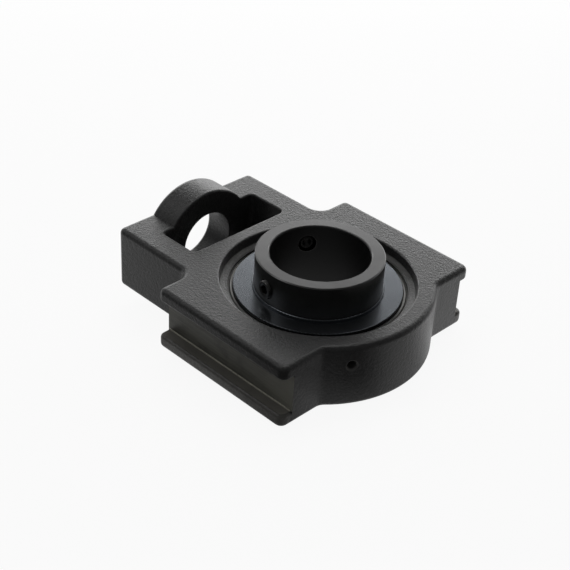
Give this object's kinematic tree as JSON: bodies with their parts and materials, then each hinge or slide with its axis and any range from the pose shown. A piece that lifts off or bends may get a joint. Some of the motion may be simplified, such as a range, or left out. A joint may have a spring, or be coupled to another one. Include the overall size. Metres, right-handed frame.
{
  "type": "take up bearing unit",
  "caption": "Cast iron take up slide with guide grooves, a screw eye and a nut window, holding a self-aligning insert bearing with a set-screw collar.",
  "frame": {"origin": "centre of the bearing, on the shaft axis and in the middle plane of the slide housing", "axes": "+Z along the shaft towards the set-screw collar, +X along the slide from the screw eye towards the rounded nose, +Y to the far guide groove"},
  "size_m": [0.1743, 0.146, 0.0669],
  "materials": {
    "housing_iron": "sand cast, matt black coat",
    "bearing_steel": "ground, lightly oiled",
    "black_steel": "ground and blackened, glossy",
    "flinger_steel": "pressed and blackened, mirror smooth",
    "ball_steel": "polished",
    "cage_steel": "pressed sheet",
    "seal_rubber": "moulded, matt",
    "screw_steel": "black oxide"
  },
  "bodies": {
    "housing": {"housing": "housing_iron"},
    "outer_race": {"outer_ring": "bearing_steel", "seal_upper": "seal_rubber", "seal_lower": "seal_rubber"},
    "inner_race": {"inner_ring": "black_steel", "flinger_upper": "flinger_steel", "flinger_lower": "flinger_steel"},
    "ball_cage": {"cage_upper": "cage_steel", "cage_lower": "cage_steel", "cage_rivets": "cage_steel"},
    "set_screw_1": {"set_screw_1": "screw_steel"},
    "set_screw_2": {"set_screw_2": "screw_steel"},
    "ball_01": {"ball_01": "ball_steel"},
    "ball_02": {"ball_02": "ball_steel"},
    "ball_03": {"ball_03": "ball_steel"},
    "ball_04": {"ball_04": "ball_steel"},
    "ball_05": {"ball_05": "ball_steel"},
    "ball_06": {"ball_06": "ball_steel"},
    "ball_07": {"ball_07": "ball_steel"},
    "ball_08": {"ball_08": "ball_steel"},
    "ball_09": {"ball_09": "ball_steel"},
    "ball_10": {"ball_10": "ball_steel"}
  },
  "joints": [
    {"name": "self_align", "type": "hinge", "parent": "housing", "child": "outer_race", "pos_m": [0, 0, 0], "axis": [0, 1, 0], "range_deg": [-3, 3]},
    {"name": "shaft_spin", "type": "hinge", "parent": "outer_race", "child": "inner_race", "pos_m": [0, 0, 0], "axis": [0, 0, 1], "continuous": true},
    {"name": "cage_orbit", "type": "hinge", "parent": "outer_race", "child": "ball_cage", "pos_m": [0, 0, 0], "axis": [0, 0, 1], "continuous": true},
    {"name": "ball_01_roll", "type": "hinge", "parent": "ball_cage", "child": "ball_01", "pos_m": [0.03875, 0, 0], "axis": [0, 0, 1], "continuous": true},
    {"name": "ball_02_roll", "type": "hinge", "parent": "ball_cage", "child": "ball_02", "pos_m": [0.03135, 0.02278, 0], "axis": [0, 0, 1], "continuous": true},
    {"name": "ball_03_roll", "type": "hinge", "parent": "ball_cage", "child": "ball_03", "pos_m": [0.01197, 0.03685, 0], "axis": [0, 0, 1], "continuous": true},
    {"name": "ball_04_roll", "type": "hinge", "parent": "ball_cage", "child": "ball_04", "pos_m": [-0.01197, 0.03685, 0], "axis": [0, 0, 1], "continuous": true},
    {"name": "ball_05_roll", "type": "hinge", "parent": "ball_cage", "child": "ball_05", "pos_m": [-0.03135, 0.02278, 0], "axis": [0, 0, 1], "continuous": true},
    {"name": "ball_06_roll", "type": "hinge", "parent": "ball_cage", "child": "ball_06", "pos_m": [-0.03875, 0, 0], "axis": [0, 0, 1], "continuous": true},
    {"name": "ball_07_roll", "type": "hinge", "parent": "ball_cage", "child": "ball_07", "pos_m": [-0.03135, -0.02278, 0], "axis": [0, 0, 1], "continuous": true},
    {"name": "ball_08_roll", "type": "hinge", "parent": "ball_cage", "child": "ball_08", "pos_m": [-0.01197, -0.03685, 0], "axis": [0, 0, 1], "continuous": true},
    {"name": "ball_09_roll", "type": "hinge", "parent": "ball_cage", "child": "ball_09", "pos_m": [0.01197, -0.03685, 0], "axis": [0, 0, 1], "continuous": true},
    {"name": "ball_10_roll", "type": "hinge", "parent": "ball_cage", "child": "ball_10", "pos_m": [0.03135, -0.02278, 0], "axis": [0, 0, 1], "continuous": true},
    {"name": "set_screw_1_travel", "type": "slide", "parent": "inner_race", "child": "set_screw_1", "axis": [-0.1564, -0.9877, 0], "range_m": [-0.0011, 0.003]},
    {"name": "set_screw_2_travel", "type": "slide", "parent": "inner_race", "child": "set_screw_2", "axis": [-0.848, 0.5299, 0], "range_m": [-0.0011, 0.003]}
  ],
  "couplings": [
    {"joint": "cage_orbit", "follows": "shaft_spin", "ratio": 0.40782},
    {"joint": "ball_01_roll", "follows": "shaft_spin", "ratio": -2.6199},
    {"joint": "ball_02_roll", "follows": "shaft_spin", "ratio": -2.6199},
    {"joint": "ball_03_roll", "follows": "shaft_spin", "ratio": -2.6199},
    {"joint": "ball_04_roll", "follows": "shaft_spin", "ratio": -2.6199},
    {"joint": "ball_05_roll", "follows": "shaft_spin", "ratio": -2.6199},
    {"joint": "ball_06_roll", "follows": "shaft_spin", "ratio": -2.6199},
    {"joint": "ball_07_roll", "follows": "shaft_spin", "ratio": -2.6199},
    {"joint": "ball_08_roll", "follows": "shaft_spin", "ratio": -2.6199},
    {"joint": "ball_09_roll", "follows": "shaft_spin", "ratio": -2.6199},
    {"joint": "ball_10_roll", "follows": "shaft_spin", "ratio": -2.6199}
  ]
}
